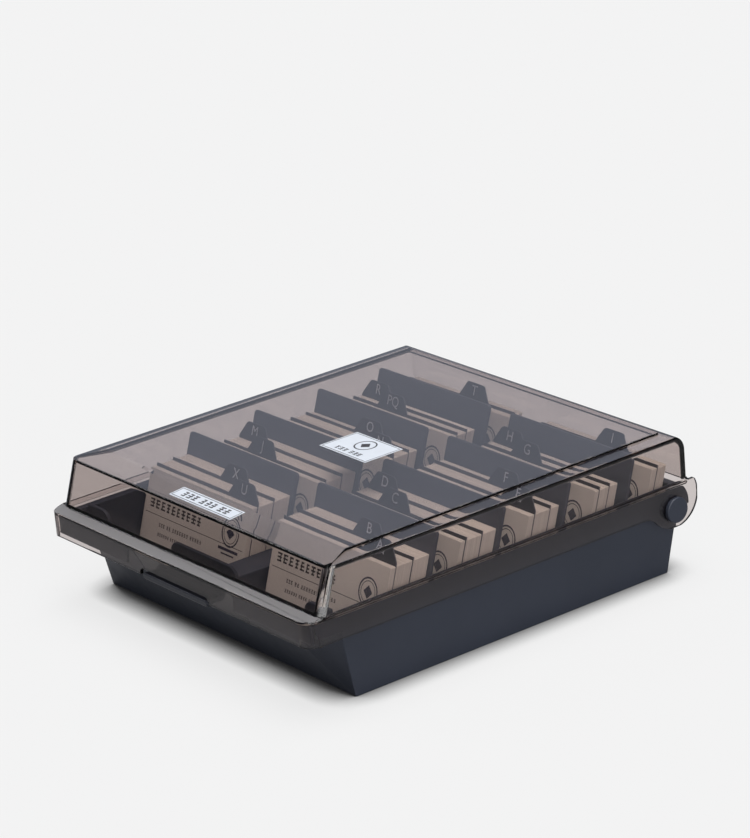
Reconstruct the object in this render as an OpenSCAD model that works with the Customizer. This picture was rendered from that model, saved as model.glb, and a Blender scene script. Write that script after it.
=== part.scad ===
// Business card box: a tray with two card columns under a hinged see-through lid.
// Millimetres, +Z up. X runs across the box and Y from its front to its back.
// The origin is on the standing plane, at the middle of the box's width and of its depth with the ears.

/* [Overall] */
// width over the lid's skirt
box_w = 224; // [200:1:280]
// depth from the front of the lid's skirt to the lid's back wall
box_d = 242; // [200:1:300]
// height of the shut box
box_h = 74.8; // [70:0.1:95]

/* [Base tray] */
// how far the tray's foot stands in from the skirt on each side
foot_in = 7.5; // [5:0.1:12]
// how far the tray's rim stands in from the skirt on each side
rim_in = 4.6; // [4.4:0.1:8]
// setback of the foot from the lid's front
front_foot = 29.6; // [20:0.1:34]
// setback of the rim from the lid's front
front_rim = 4.6; // [4:0.1:6]
// setback of the foot from the lid's back wall
back_foot = 11.1; // [9:0.1:16]
// thickness of the outer walls
base_wall = 2.4; // [2:0.1:3]
// height of the floor that the cards stand on
floor_z = 5.2; // [4:0.1:8]
// thickness of the floor
floor_t = 2.6; // [1.6:0.1:3]
// width of the standing rim under the floor
foot_rim = 5; // [3:0.5:10]
// thickness of the side walls at the foot
side_wall = 2.2; // [1.8:0.1:3]
// length of the slanted corner facet along the side, as its plane meets the rim's height
facet_run = 16.2; // [10:0.1:26]
// how far the facet cuts into the front face, as its plane meets the rim's height
facet_cut = 40; // [20:0.5:44]
// height of the rim band's underside above the skirt's lower edge at the facets
band_rise = 1.6; // [0:0.1:4]
// thickness of the apron that hangs from the front rim, behind the skirt
apron_t = 1.8; // [1.2:0.1:2.2]
// height of the apron's lower edge above the skirt's lower edge
apron_rise = 0.4; // [0:0.1:4]
// how far the apron stays clear of the latch on each side
apron_clear = 4; // [2:0.5:12]
// how far the back wall reaches behind the hinge axis
back_reach = 6.2; // [4:0.1:7]
// how far below the hinge axis the back wall reaches furthest
back_drop = 3.4; // [2:0.1:6]
// how far the back wall's rim stands behind the hinge axis
back_rim = 3.2; // [2:0.1:5]
// depth of the rounded back edge's underside below the hinge axis
knuckle_drop = 1.8; // [1:0.1:3]

/* [Spine and front stop] */
// width of the ridge between the two columns
spine_w = 18.4; // [14:0.2:24]
// height of the ridge
spine_z = 34; // [24:0.5:42]
// wall thickness of the ridge
spine_t = 2.2; // [1.6:0.1:3]
// setback of the inner stop wall from the lid's front
stop_y = 19.5; // [17:0.1:22]
// thickness of the stop wall
stop_t = 2.2; // [1.6:0.1:3]
// height of the stop wall
stop_z = 48.2; // [44:0.1:52]
// height of the sill of the finger openings
sill_z = 30; // [26:0.5:40]
// inner edge of each finger opening, from the middle
finger_in = 28; // [20:0.5:36]
// outer edge of each finger opening, from the middle
finger_out = 84; // [70:0.5:90]
// corner radius of the stops beside the finger openings
stop_r = 6; // [2:0.5:8]

/* [Latch] */
// width of the sprung tongue
tongue_w = 84; // [64:1:100]
// height of the tongue's flexing edge
tongue_z = 26; // [24:0.5:32]
// slit round the tongue
slit = 0.5; // [0.4:0.05:1]
// width of the thumb lip
lip_w = 55.6; // [40:0.2:62]
// height of the thumb lip
lip_h = 3.4; // [2.4:0.1:4]
// height of the lip's underside
lip_z = 33.6; // [32:0.1:35]
// setback of the lip's face from the skirt's face
lip_in = 0.3; // [0:0.1:2]
// free height over the lip in the lid's notch
lip_room = 2; // [1.6:0.1:3]
// free width beside the lip in the lid's notch
lip_side = 1.5; // [1:0.1:3]

/* [Lid] */
// thickness of the lid
lid_t = 2.2; // [1.6:0.1:2.8]
// height of the ledge on top of the skirt
ledge_z = 49.5; // [46:0.1:54]
// height of the skirt
skirt_h = 14.1; // [11:0.1:18]
// corner radius of the skirt
skirt_r = 8.5; // [4:0.5:12]
// width of the ledge at the front
front_ledge = 8; // [5:0.1:12]
// fall of the front ledge towards the front
ledge_fall = 0.8; // [0.2:0.1:1.2]
// width of the ledge at each side
side_ledge = 1.6; // [1:0.1:2]
// how far the front wall leans back over its height
front_lean = 7.8; // [3:0.1:12]
// rise of the raised top panel
panel_rise = 1.7; // [0.8:0.1:3]
// border of the top panel along each side
side_border = 9; // [5:0.5:14]
// border of the top panel along the front
front_border = 17.3; // [10:0.1:24]
// border of the top panel along the back
back_border = 9; // [9:0.5:14]
// step from the top panel down to its side and back borders
panel_step = 1.1; // [0.6:0.1:1.6]
// radius between the top and the back wall
back_r = 8; // [5:0.5:9]
// corner radius of the front wall
wall_r = 5; // [3:0.5:8]

/* [Hinge] */
// setback of the hinge axis from the lid's back wall
hinge_in = 10.4; // [9:0.1:12]
// height of the hinge axis
hinge_z = 36.3; // [34:0.1:38]
// radius of the lid's ear
ear_r = 16; // [13:0.1:18]
// height of the ear's centre over the hinge axis
ear_up = 5.9; // [3:0.1:7]
// radius of the sweep between the skirt and the ear
ear_sweep = 8; // [4:0.5:10]
// radius of the pin
pin_r = 2.5; // [2:0.1:3.5]
// radius of the pin's head
head_r = 6.8; // [5.5:0.1:8]
// thickness of the pin's head
head_t = 2.2; // [1.6:0.1:3]
// rounding of the pin's head
head_round = 0.8; // [0.3:0.1:1.2]
// radius of the tray's rounded back edge round the hinge axis
knuckle_r = 13.4; // [12:0.1:14]
// radius of the tray's pin boss
boss_r = 6.4; // [5:0.1:7]
// thickness of the boss's blind end
boss_end = 1.2; // [0.8:0.1:1.5]
// depth of the pin in the tray's boss
pin_grip = 4.6; // [3:0.1:5]

/* [Cards] */
// backward lean of the cards, index guides and dividers in degrees
lean = 18; // [10:0.5:22]
// width of a card
card_w = 90; // [80:0.5:92]
// height of a card
card_h = 54; // [48:0.5:55]
// width of an index guide
guide_w = 89.5; // [82:0.5:93]
// thickness of an index guide
guide_t = 0.6; // [0.4:0.1:1]
// how far a guide's edge stands over the cards
guide_up = 1.2; // [0.5:0.1:2]
// height of an index tab
tab_h = 8.2; // [6:0.1:9]
// width of an index tab at its root
tab_root = 25; // [18:0.5:26]
// width of an index tab at its top
tab_top = 14.5; // [10:0.5:18]
// corner radius of an index tab
tab_r = 3.2; // [1:0.1:4]
// card packs per compartment, front to back, as thicknesses
packs_1 = [3, 9, 9.1];
packs_2 = [2.8, 9.2, 7.9];
packs_3 = [3.4, 8.8, 4.9];
packs_4 = [2.4, 5.4, 4.8];
packs_5 = [3.4, 5.3];
// least free depth kept in front of each stack
front_gap = 2; // [1:0.5:6]
// room left behind each compartment's cards on the floor
back_gaps = [0.4, 0.4, 2, 5.3, 8.6];

/* [Dividers] */
// floor position of the first divider from the lid's front
divider_y = 66.2; // [60:0.1:76]
// depth of the last compartment on the floor
last_depth = 36.2; // [28:0.1:40]
// thickness of a divider
divider_t = 1.9; // [1.4:0.1:2.6]
// height of a divider's top edge
divider_z = 67; // [60:0.1:69.5]
// corner radius of a divider
divider_r = 2; // [0.5:0.5:5]
// depth of the grooves that hold a divider
groove = 0.8; // [0.5:0.1:1.2]

/* [Labels] */
// thickness of the label film
label_t = 0.2; // [0.1:0.05:0.4]
// width of the label on the front border
front_label_w = 52; // [30:0.5:60]
// depth of the label on the front border
front_label_d = 9.6; // [6:0.1:12]
// width of the label on the top panel
top_label_w = 38; // [20:0.5:60]
// depth of the label on the top panel
top_label_d = 24.5; // [12:0.5:40]

/* [Clearances] */
// gap between the tray's rim and the lid's ledge
rim_gap = 0.7; // [0.4:0.1:1]
// radial clearance of the pin in the lid's ear
pin_clear = 0.05; // [0.02:0.01:0.1]
// gap between sliding flat faces at the hinge
face_gap = 0.3; // [0.2:0.05:0.5]
// gap round a divider in its grooves
groove_gap = 0.15; // [0.1:0.05:0.3]
// gap between neighbouring cards, guides and dividers
card_gap = 0.05; // [0.02:0.01:0.2]

/* [Hidden] */
$fn = 96;
over = 1;
// how far a slanted rounding's cylinder stands proud of its two planes, so that they cross cleanly
bite = 0.02;
half_w = box_w / 2;
half_foot = half_w - foot_in;
half_rim = half_w - rim_in;
half_in = half_foot - side_wall;
half_lid = half_w - side_ledge;
skirt_z = ledge_z - skirt_h;
ledge_under = ledge_z - lid_t;
rim_z = ledge_under - rim_gap;
wall_z = box_h - panel_rise;
border_z = box_h - panel_step;
hinge_y = box_d - hinge_in;
ear_z = hinge_z + ear_up;
back_y = box_d - back_foot;
// slope of the tray's front wall and of the lid's front wall
front_slope = atan((front_foot - front_rim) / rim_z);
lid_slope = atan(front_lean / (wall_z - ledge_z));
// column and compartment layout
column_in = spine_w / 2;
column_x = (column_in + half_in) / 2;
column_w = half_in - column_in;
back_in_y = back_y - base_wall;
compartments = 5;
pitch = (back_in_y - last_depth - divider_y) / (compartments - 2);
packs = [packs_1, packs_2, packs_3, packs_4, packs_5];
divider_w = column_w + 2 * (groove - groove_gap);
divider_len = (divider_z - floor_z) / cos(lean);
card_top = card_h * cos(lean);
guide_len = card_h + guide_up;
tab_slots = [[3, 2], [1, 0], [3, 2], [1, 0], [2]];
tab_step = (guide_w - tab_root) / 3;

tray_colour = [0.235, 0.25, 0.29];
lid_colour = [0.36, 0.32, 0.31, 0.5];
guide_colour = [0.2, 0.205, 0.235];
card_colour = [0.74, 0.64, 0.53];
label_colour = [0.93, 0.93, 0.94];

// Helpers

// moves front-based depths into the part's frame
module placed() {
    translate([0, -(hinge_y + ear_r) / 2, 0]) children();
}

// a side profile drawn as [depth, height], run across the box from x0 to x1
module across(x0, x1) {
    translate([x0, 0, 0]) rotate([90, 0, 90]) linear_extrude(x1 - x0) children();
}

// a front profile drawn as [x, height], run along the depth from y0 to y1
module along(y0, y1) {
    translate([0, y1, 0]) rotate([90, 0, 0]) linear_extrude(y1 - y0) children();
}

// where the lines through p along d and through q along e meet
function meet(p, d, q, e) =
    p + d * ((q[0] - p[0]) * e[1] - (q[1] - p[1]) * e[0]) / (d[0] * e[1] - d[1] * e[0]);

// a convex outline, listed anticlockwise, moved inwards by t
function inset(pts, t) = let (n = len(pts)) [
    for (i = [0 : n - 1])
        let (
            a = pts[(i + n - 1) % n],
            b = pts[i],
            c = pts[(i + 1) % n],
            d = (b - a) / norm(b - a),
            e = (c - b) / norm(c - b)
        )
        meet(b + t * [-d[1], d[0]], d, b + t * [-e[1], e[0]], e)
];

// a bar with round ends along X, drawn as [x, height] about its middle
module stadium(w, h) {
    square([w - h, h], center = true);
    for (s = [-1, 1]) translate([s * (w - h) / 2, 0]) circle(d = h);
}

// Base tray

function tray_side() = [
    [front_foot, 0], [back_y, 0], [hinge_y + back_reach, hinge_z - back_drop],
    [hinge_y + back_rim, rim_z], [front_rim, rim_z]
];
function tray_front() = [
    [-half_foot, 0], [half_foot, 0], [half_rim, rim_z], [-half_rim, rim_z]
];
function cavity_side(top) = let (s = inset(tray_side(), base_wall)) [
    meet(s[0], s[4] - s[0], [0, floor_z], [1, 0]),
    meet(s[1], s[2] - s[1], [0, floor_z], [1, 0]),
    s[2],
    meet(s[2], s[3] - s[2], [0, top], [1, 0]),
    meet(s[0], s[4] - s[0], [0, top], [1, 0])
];

// what lies outside the two slanted corner facets, or outside planes set in from them:
// each rises from the foot's corner and ends under the rim's band, behind the skirt
module facet_cuts(set_in = 0) {
    foot = [half_foot, front_foot, 0];
    n = cross(
        [half_rim, front_rim + facet_run, rim_z] - foot,
        [half_rim - facet_cut, front_rim, rim_z] - foot
    );
    for (s = [-1, 1])
        mirror([s > 0 ? 0 : 1, 0, 0]) intersection() {
            translate(foot) rotate([0, acos(n[2] / norm(n)), atan2(n[1], n[0])])
                translate([-90, -90, -set_in]) cube([180, 180, 40 + set_in]);
            translate([0, -box_d, -box_h])
                cube([box_w, 2 * box_d, box_h + skirt_z + band_rise + set_in]);
        }
}

// the rounded back edge that turns inside the lid's ears
module knuckle(r, x, low) {
    intersection() {
        translate([-x, hinge_y, hinge_z]) rotate([0, 90, 0]) cylinder(r = r, h = 2 * x);
        translate([-box_w, hinge_y + 1 - (r < knuckle_r ? r : 0), low])
            cube([2 * box_w, 3 * r, rim_z - low + (r < knuckle_r ? over : 0)]);
    }
}

module shell() {
    difference() {
        intersection() {
            across(-box_w, box_w) polygon(tray_side());
            along(-box_d, 2 * box_d) polygon(tray_front());
        }
        difference() {
            across(-half_in, half_in) polygon(cavity_side(rim_z + over));
            facet_cuts(base_wall);
        }
        facet_cuts();
        // recess under the floor, inside the standing rim
        translate([-half_foot + foot_rim, front_foot + foot_rim, -over])
            cube([
                2 * (half_foot - foot_rim),
                back_y - front_foot - 2 * foot_rim,
                floor_z - floor_t + over
            ]);
    }
}

// the rim turns down at the front, on both sides of the latch
module apron() {
    x = max(tongue_w, lip_w) / 2 + apron_clear;
    low = skirt_z + apron_rise;
    for (s = [-1, 1])
        mirror([s > 0 ? 0 : 1, 0, 0])
            translate([x, front_rim, low]) cube([half_rim - x, apron_t, rim_z - low]);
}

module spine() {
    x = column_in;
    y = stop_y + stop_t;
    difference() {
        // the ridge runs from the stop wall's back face into the middle of the back wall
        intersection() {
            translate([-x, y, floor_z - floor_t])
                cube([2 * x, box_d - y, spine_z - floor_z + floor_t]);
            across(-x - over, x + over) polygon(inset(tray_side(), base_wall / 2));
        }
        translate([-x + spine_t, front_foot + foot_rim, 0])
            cube([2 * (x - spine_t), back_y - front_foot - 2 * foot_rim, spine_z - spine_t]);
    }
}

module pin_bosses() {
    for (s = [-1, 1])
        mirror([s > 0 ? 0 : 1, 0, 0])
            translate([half_rim - pin_grip - boss_end, hinge_y, hinge_z]) rotate([0, 90, 0])
                cylinder(r = boss_r, h = half_w - lid_t - face_gap - half_rim + pin_grip + boss_end);
}

// grooves in the floor, the ridge and the side walls that hold the dividers
module divider_grooves() {
    t = divider_t + 2 * groove_gap;
    for (i = [0 : compartments - 2])
        translate([0, divider_y + i * pitch - groove_gap / cos(lean), floor_z])
            rotate([-lean, 0, 0])
                for (s = [-1, 1])
                    translate([s * column_x - column_w / 2 - groove, 0, -0.2])
                        cube([column_w + 2 * groove, t, 80]);
}

// the opening for the sprung tongue in the slanted front wall
module tongue_frame(side, low) {
    translate([0, front_foot, 0]) rotate([front_slope, 0, 0])
        translate([-tongue_w / 2 - side, -over, tongue_z / cos(front_slope) - low])
            cube([tongue_w + 2 * side, base_wall + 2 * over, 60]);
}

module base_tray() {
    color(tray_colour) placed() difference() {
        union() {
            difference() {
                union() {
                    shell();
                    apron();
                    knuckle(knuckle_r, half_rim - 0.6, hinge_z - knuckle_drop);
                }
                knuckle(knuckle_r - base_wall, half_in, hinge_z - knuckle_drop + base_wall);
            }
            spine();
            pin_bosses();
        }
        divider_grooves();
        tongue_frame(slit, slit);
        for (s = [-1, 1])
            mirror([s > 0 ? 0 : 1, 0, 0])
                translate([half_rim - pin_grip, hinge_y, hinge_z]) rotate([0, 90, 0])
                    cylinder(r = pin_r + pin_clear, h = box_w);
    }
}

// Front stop: the wall in front of the cards, with a finger opening for each column

module stop_profile() {
    low = floor_z;
    translate([-half_in, low]) square([2 * half_in, sill_z - low]);
    translate([-finger_in, low]) square([2 * finger_in, stop_z - stop_r - low]);
    translate([-finger_in + stop_r, low]) square([2 * (finger_in - stop_r), stop_z - low]);
    for (s = [-1, 1]) {
        translate([s * (finger_in - stop_r), stop_z - stop_r]) circle(r = stop_r);
        mirror([s > 0 ? 0 : 1, 0]) {
            translate([finger_out, low]) square([half_in - finger_out, stop_z - stop_r - low]);
            translate([finger_out + stop_r, low])
                square([half_in - finger_out - stop_r, stop_z - low]);
            translate([finger_out + stop_r, stop_z - stop_r]) circle(r = stop_r);
        }
    }
}

module front_stop() {
    color(tray_colour) placed() difference() {
        intersection() {
            along(stop_y, stop_y + stop_t) stop_profile();
            // stands on the slanted front wall, between the side walls
            across(-half_in, half_in) polygon(cavity_side(stop_z + over));
        }
        facet_cuts(base_wall);
    }
}

// Latch

module latch_tongue() {
    top = (rim_z - base_wall * sin(front_slope) - 0.2) / cos(front_slope);
    low = tongue_z / cos(front_slope);
    color(tray_colour) placed() {
        translate([0, front_foot, 0]) rotate([front_slope, 0, 0])
            translate([-tongue_w / 2, 0, low]) cube([tongue_w, base_wall, top - low]);
        intersection() {
            along(lip_in, front_foot) translate([0, lip_z + lip_h / 2]) stadium(lip_w, lip_h);
            // runs back into the middle of the tongue
            translate([-box_w, front_foot, 0]) rotate([front_slope, 0, 0])
                translate([0, base_wall / 2 - 60, -30]) cube([2 * box_w, 60, 140]);
        }
    }
}

// Lid

// the leaning front, the top and the back of the lid above the ledge
function lid_side(low) = [
    [front_ledge - front_lean * (ledge_z - low) / (wall_z - ledge_z), low], [box_d, low],
    [box_d, box_h], [front_ledge + front_lean + front_border, box_h],
    [front_ledge + front_lean, wall_z]
];
function lid_front(low) = [
    [-half_lid, low], [half_lid, low], [half_lid, wall_z], [half_lid - side_border, box_h],
    [-half_lid + side_border, box_h], [-half_lid, wall_z]
];

// what a rounding of radius r takes off a square corner that points along +X and -Y
module corner_waste(r, h) {
    difference() {
        translate([-r, -over, 0]) cube([r + over, r + over, h]);
        translate([-r + bite, r - bite, -over]) cylinder(r = r, h = h + 2 * over);
    }
}

// what lies above the side border, out from the hip that runs to the front corner
module border_waste(t) {
    x = half_lid - side_border - t;
    y = front_ledge + front_lean + t;
    z = border_z - t;
    fall = (border_z - wall_z) / side_border;
    intersection() {
        along(0, box_d + over)
            polygon([
                [x, z], [x + side_border + over, z - fall * (side_border + over)],
                [x + side_border + over, z + 2 * over], [x, z + 2 * over]
            ]);
        translate([0, 0, z - side_border])
            linear_extrude(2 * side_border)
                polygon([
                    [x, y + front_border], [x + side_border, y], [x + side_border + over, y],
                    [x + side_border + over, box_d + over], [x, box_d + over]
                ]);
    }
}

module lid_block(t, low) {
    difference() {
        intersection() {
            across(-half_lid + t, half_lid - t) polygon(inset(lid_side(low - t), t));
            along(-box_d, 2 * box_d) polygon(inset(lid_front(low - t), t));
        }
        // steps at the sides and the back of the raised panel
        for (s = [-1, 1]) mirror([s > 0 ? 0 : 1, 0, 0]) border_waste(t);
        translate([-box_w, box_d - back_border - t, border_z - t])
            cube([2 * box_w, 2 * back_border, 2 * over]);
        // round front corners, along the lean of the front wall
        for (s = [-1, 1])
            mirror([s > 0 ? 0 : 1, 0, 0])
                translate([half_lid - t, front_ledge + t / cos(lid_slope), ledge_z])
                    rotate([-lid_slope, 0, 0])
                        translate([0, 0, -40]) corner_waste(wall_r - t, 90);
        // round edge between the top and the back wall
        translate([-box_w, box_d - t, border_z - t]) rotate([0, 90, 0])
            difference() {
                translate([-4, -back_r + t, 0]) cube([back_r - t + 4, back_r - t + over, 2 * box_w]);
                translate([back_r - t, -back_r + t, -over])
                    cylinder(r = back_r - t, h = 2 * box_w + 2 * over);
            }
    }
}

module skirt_block(t, z0, z1) {
    r = skirt_r - t;
    x = half_w - t;
    translate([-x, skirt_r, z0]) cube([2 * x, hinge_y - skirt_r, z1 - z0]);
    translate([-x + r, t, z0]) cube([2 * (x - r), skirt_r, z1 - z0]);
    for (s = [-1, 1]) translate([s * (x - r), skirt_r, z0]) cylinder(r = r, h = z1 - z0);
}

// one ear beside the hinge, with the sweep that leads into the skirt
module ear() {
    reach = ear_r + ear_sweep;
    drop = ear_z - skirt_z + ear_sweep;
    back = sqrt(reach * reach - drop * drop);
    sweep = [hinge_y - back, skirt_z - ear_sweep];
    difference() {
        union() {
            translate([half_w - lid_t, hinge_y, ear_z]) rotate([0, 90, 0]) cylinder(r = ear_r, h = lid_t);
            across(half_w - lid_t, half_w)
                polygon([
                    [sweep[0], ledge_under], sweep,
                    [hinge_y, ear_z] + (sweep - [hinge_y, ear_z]) * ear_r / reach, [hinge_y, ear_z]
                ]);
        }
        translate([half_w - 2 * lid_t, sweep[0], sweep[1]]) rotate([0, 90, 0])
            cylinder(r = ear_sweep, h = 3 * lid_t);
        translate([0, 0, ledge_z]) cube([box_w, 2 * box_d, box_h]);
        translate([0, hinge_y, hinge_z]) rotate([0, 90, 0])
            cylinder(r = pin_r + pin_clear, h = box_w);
    }
}

module lid() {
    color(lid_colour) placed() {
        difference() {
            union() {
                difference() {
                    skirt_block(0, skirt_z, ledge_z);
                    // the front ledge falls towards the front, from under the front wall
                    across(-box_w, box_w)
                        polygon([
                            [front_ledge + over, ledge_z], [front_ledge + over, ledge_z + over],
                            [-over, ledge_z + over],
                            [-over, ledge_z - ledge_fall * (front_ledge + 2 * over) / (front_ledge + over)]
                        ]);
                }
                lid_block(0, ledge_under);
            }
            skirt_block(lid_t, skirt_z - over, ledge_under);
            translate([-half_w + lid_t, hinge_y - over, 0])
                cube([box_w - 2 * lid_t, box_d, ledge_under]);
            lid_block(lid_t, skirt_z);
            // the back wall stops at the ledge, clear of the tray's rounded back edge
            translate([-half_lid + lid_t, hinge_y, 0]) cube([2 * (half_lid - lid_t), box_d, ledge_z]);
            // room for the ears' bores at the skirt's ends
            translate([-box_w, hinge_y, hinge_z]) rotate([0, 90, 0])
                cylinder(r = pin_r + pin_clear, h = 2 * box_w);
            // notch over the thumb lip
            notch_h = lip_h + lip_room;
            along(-over, lid_t + over) {
                translate([0, lip_z + notch_h - lip_h / 2]) stadium(lip_w + 2 * lip_side, lip_h);
                translate([-lip_w / 2 - lip_side, lip_z - 9])
                    square([lip_w + 2 * lip_side, notch_h + 9 - lip_h / 2]);
            }
        }
        for (s = [-1, 1]) mirror([s > 0 ? 0 : 1, 0, 0]) ear();
    }
}

// Hinge pins

module hinge_pins() {
    x0 = half_rim - pin_grip;
    x1 = half_w + face_gap;
    color(tray_colour) placed()
        for (s = [-1, 1])
            mirror([s > 0 ? 0 : 1, 0, 0])
                translate([0, hinge_y, hinge_z]) rotate([0, 90, 0]) {
                    translate([0, 0, x0]) cylinder(r = pin_r, h = x1 - x0 + head_t / 2);
                    translate([0, 0, x1]) rotate_extrude() {
                        square([head_r, head_t - head_round]);
                        square([head_r - head_round, head_t]);
                        translate([head_r - head_round, head_t - head_round]) circle(r = head_round, $fn = 32);
                    }
                }
}

// Labels

module lid_labels() {
    pitch_up = atan(panel_rise / front_border);
    mid = front_border / 2;
    color(label_colour) placed() {
        // on the slanted front border
        translate([0, front_ledge + front_lean, wall_z]) rotate([pitch_up, 0, 0])
            translate([-front_label_w / 2, mid / cos(pitch_up) - front_label_d / 2, 0])
                cube([front_label_w, front_label_d, label_t]);
        // on the top panel
        translate([-top_label_w / 2, (box_d - top_label_d) / 2, box_h])
            cube([top_label_w, top_label_d, label_t]);
    }
}

// Contents: side is -1 for the left column and 1 for the right, i counts compartments from the front

// the depth on the floor of the face that a compartment's stack leans towards
function stack_end(i) =
    (i < compartments - 1 ? divider_y + i * pitch : back_in_y) - back_gaps[i];
// how deep a compartment's floor is, from the stop wall or the divider in front of it
function room(i) = stack_end(i) - (
    i == 0 ? stop_y + stop_t : divider_y + (i - 1) * pitch + divider_t / cos(lean)
);
// how thick the cards from k to the back of the stack are, and the guides among them
function cards_from(i, k) = k >= len(packs[i]) ? 0 : packs[i][k] + cards_from(i, k + 1);
function guides_from(i, k) = (len(packs[i]) - 1 - k) * (guide_t + 2 * card_gap);
// fewer cards go into a compartment that is too shallow for the whole stack
function fill(i) =
    min(1, ((room(i) - front_gap) * cos(lean) - guides_from(i, 0)) / cards_from(i, 0));
function pack_t(i, k) = packs[i][k] * fill(i);
function pack_y(i, k) =
    stack_end(i) - (cards_from(i, k) * fill(i) + guides_from(i, k)) / cos(lean);
function guide_y(i, k) = pack_y(i, k) + (pack_t(i, k) + card_gap) / cos(lean);

module card_pack(side, i, k) {
    w = pack_t(i, k) / cos(lean);
    rise = [card_h * sin(lean), card_top];
    foot = [pack_y(i, k), floor_z];
    x = side * column_x - card_w / 2;
    color(card_colour) placed() across(x, x + card_w)
        polygon([foot, foot + [w, 0], foot + [w, 0] + rise, foot + rise]);
}

// a guide's outline: a plain card with one tab, which has round top corners
function tab_outline() = let (
    r = tab_r,
    turn = atan2(tab_h, (tab_root - tab_top) / 2),
    cx = tab_top / 2 - r * tan(turn / 2),
    cy = tab_h - r
) [
    [tab_root / 2, 0],
    for (a = [0 : 6]) [cx, cy] + r * [cos(90 - turn + a * turn / 6), sin(90 - turn + a * turn / 6)],
    for (a = [0 : 6]) [-cx, cy] + r * [cos(90 + a * turn / 6), sin(90 + a * turn / 6)],
    [-tab_root / 2, 0]
];

module index_guide(side, i, k) {
    slot = tab_slots[i][k];
    x = -guide_w / 2 + tab_root / 2 + slot * tab_step;
    color(guide_colour) placed()
        translate([side * column_x, guide_y(i, k) + guide_t / cos(lean), floor_z])
            rotate([90 - lean, 0, 0])
                linear_extrude(guide_t)
                    polygon([
                        [-guide_w / 2, 0], [guide_w / 2, 0], [guide_w / 2, guide_len],
                        for (p = tab_outline()) p + [x, guide_len],
                        [-guide_w / 2, guide_len]
                    ]);
}

module divider(side, i) {
    w = divider_w / 2;
    r = divider_r;
    h = divider_len;
    color(tray_colour) placed()
        translate([side * column_x, divider_y + i * pitch + divider_t / cos(lean), floor_z])
            rotate([90 - lean, 0, 0]) linear_extrude(divider_t) {
                translate([-w, 0]) square([2 * w, h - r]);
                translate([-w + r, 0]) square([2 * (w - r), h]);
                for (s = [-1, 1]) translate([s * (w - r), h - r]) circle(r = r);
            }
}

base_tray();
front_stop();
latch_tongue();
lid();
hinge_pins();
lid_labels();
divider(-1, 0);  // divider_l1
divider(-1, 1);  // divider_l2
divider(-1, 2);  // divider_l3
divider(-1, 3);  // divider_l4
divider(1, 0);  // divider_r1
divider(1, 1);  // divider_r2
divider(1, 2);  // divider_r3
divider(1, 3);  // divider_r4
index_guide(-1, 0, 0);  // guide_l1a
index_guide(-1, 0, 1);  // guide_l1b
index_guide(-1, 1, 0);  // guide_l2a
index_guide(-1, 1, 1);  // guide_l2b
index_guide(-1, 2, 0);  // guide_l3a
index_guide(-1, 2, 1);  // guide_l3b
index_guide(-1, 3, 0);  // guide_l4a
index_guide(-1, 3, 1);  // guide_l4b
index_guide(-1, 4, 0);  // guide_l5a
index_guide(1, 0, 0);  // guide_r1a
index_guide(1, 0, 1);  // guide_r1b
index_guide(1, 1, 0);  // guide_r2a
index_guide(1, 1, 1);  // guide_r2b
index_guide(1, 2, 0);  // guide_r3a
index_guide(1, 2, 1);  // guide_r3b
index_guide(1, 3, 0);  // guide_r4a
index_guide(1, 3, 1);  // guide_r4b
index_guide(1, 4, 0);  // guide_r5a
card_pack(-1, 0, 0);  // cards_l1a
card_pack(-1, 0, 1);  // cards_l1b
card_pack(-1, 0, 2);  // cards_l1c
card_pack(-1, 1, 0);  // cards_l2a
card_pack(-1, 1, 1);  // cards_l2b
card_pack(-1, 1, 2);  // cards_l2c
card_pack(-1, 2, 0);  // cards_l3a
card_pack(-1, 2, 1);  // cards_l3b
card_pack(-1, 2, 2);  // cards_l3c
card_pack(-1, 3, 0);  // cards_l4a
card_pack(-1, 3, 1);  // cards_l4b
card_pack(-1, 3, 2);  // cards_l4c
card_pack(-1, 4, 0);  // cards_l5a
card_pack(-1, 4, 1);  // cards_l5b
card_pack(1, 0, 0);  // cards_r1a
card_pack(1, 0, 1);  // cards_r1b
card_pack(1, 0, 2);  // cards_r1c
card_pack(1, 1, 0);  // cards_r2a
card_pack(1, 1, 1);  // cards_r2b
card_pack(1, 1, 2);  // cards_r2c
card_pack(1, 2, 0);  // cards_r3a
card_pack(1, 2, 1);  // cards_r3b
card_pack(1, 2, 2);  // cards_r3c
card_pack(1, 3, 0);  // cards_r4a
card_pack(1, 3, 1);  // cards_r4b
card_pack(1, 3, 2);  // cards_r4c
card_pack(1, 4, 0);  // cards_r5a
card_pack(1, 4, 1);  // cards_r5b
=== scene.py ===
"""Business card box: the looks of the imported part, laid out as an add-on and run as a script.

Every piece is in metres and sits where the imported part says. A finished piece's object stays at
the origin, with its place in its mesh.
"""

import math
import random

import bmesh
import bpy
from bpy.props import FloatProperty, FloatVectorProperty, PointerProperty
from mathutils import Matrix, Vector


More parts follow.
